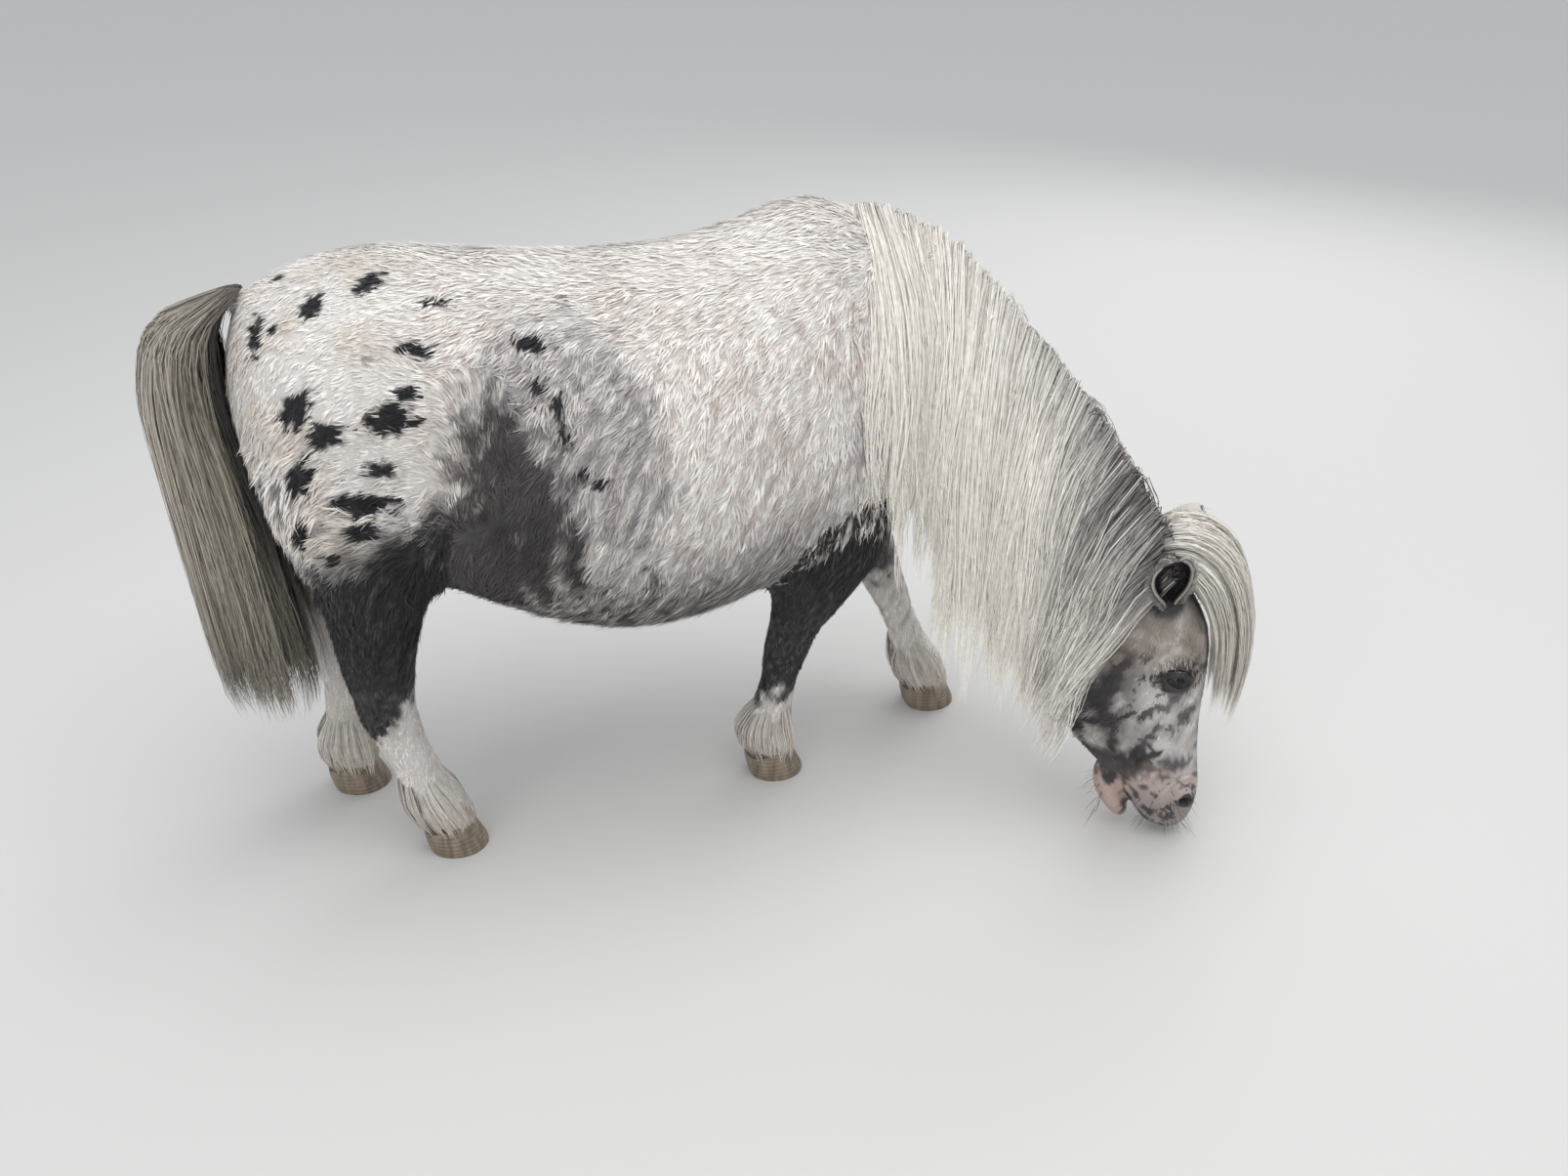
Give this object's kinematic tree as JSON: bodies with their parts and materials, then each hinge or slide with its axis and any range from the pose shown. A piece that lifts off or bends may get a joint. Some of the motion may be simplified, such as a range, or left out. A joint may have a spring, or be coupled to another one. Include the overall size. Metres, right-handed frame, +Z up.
{
  "type": "shetland pony",
  "caption": "Life-size still model of a stocky, long-maned Shetland pony standing with its head down to graze, neck bent to its right.",
  "frame": {"origin": "bottom centre of the bounding box, on the floor under the belly", "axes": "+X from tail to chest, +Y to the pony's left, +Z up; the longest side runs along X"},
  "size_m": [1.434, 0.6664, 0.88],
  "materials": {
    "body_coat": "thick short coat, white to cream with dark grey spots and patches",
    "mane_hair": "long cream-white hair, greyer near the poll",
    "face_coat": "short grey-white coat with black mottling, pink and black skin at the muzzle",
    "tail_hair": "long grey-brown hair with cream edges and a black inner strip",
    "leg_coat": "short coat, dark above and cream below",
    "hoof": "worn brown-grey horn with growth rings",
    "eye": "wet dark brown eye"
  },
  "bodies": {
    "root": {"torso": "body_coat", "neck": "mane_hair", "head": "face_coat", "tail": "tail_hair", "ear_right": "face_coat", "ear_left": "face_coat", "eye_right": "eye", "eye_left": "eye", "fore_leg_right": "leg_coat", "fore_leg_left": "leg_coat", "hind_leg_right": "leg_coat", "hind_leg_left": "leg_coat", "hoof_fore_right": "hoof", "hoof_fore_left": "hoof", "hoof_hind_right": "hoof", "hoof_hind_left": "hoof"}
  },
  "joints": []
}
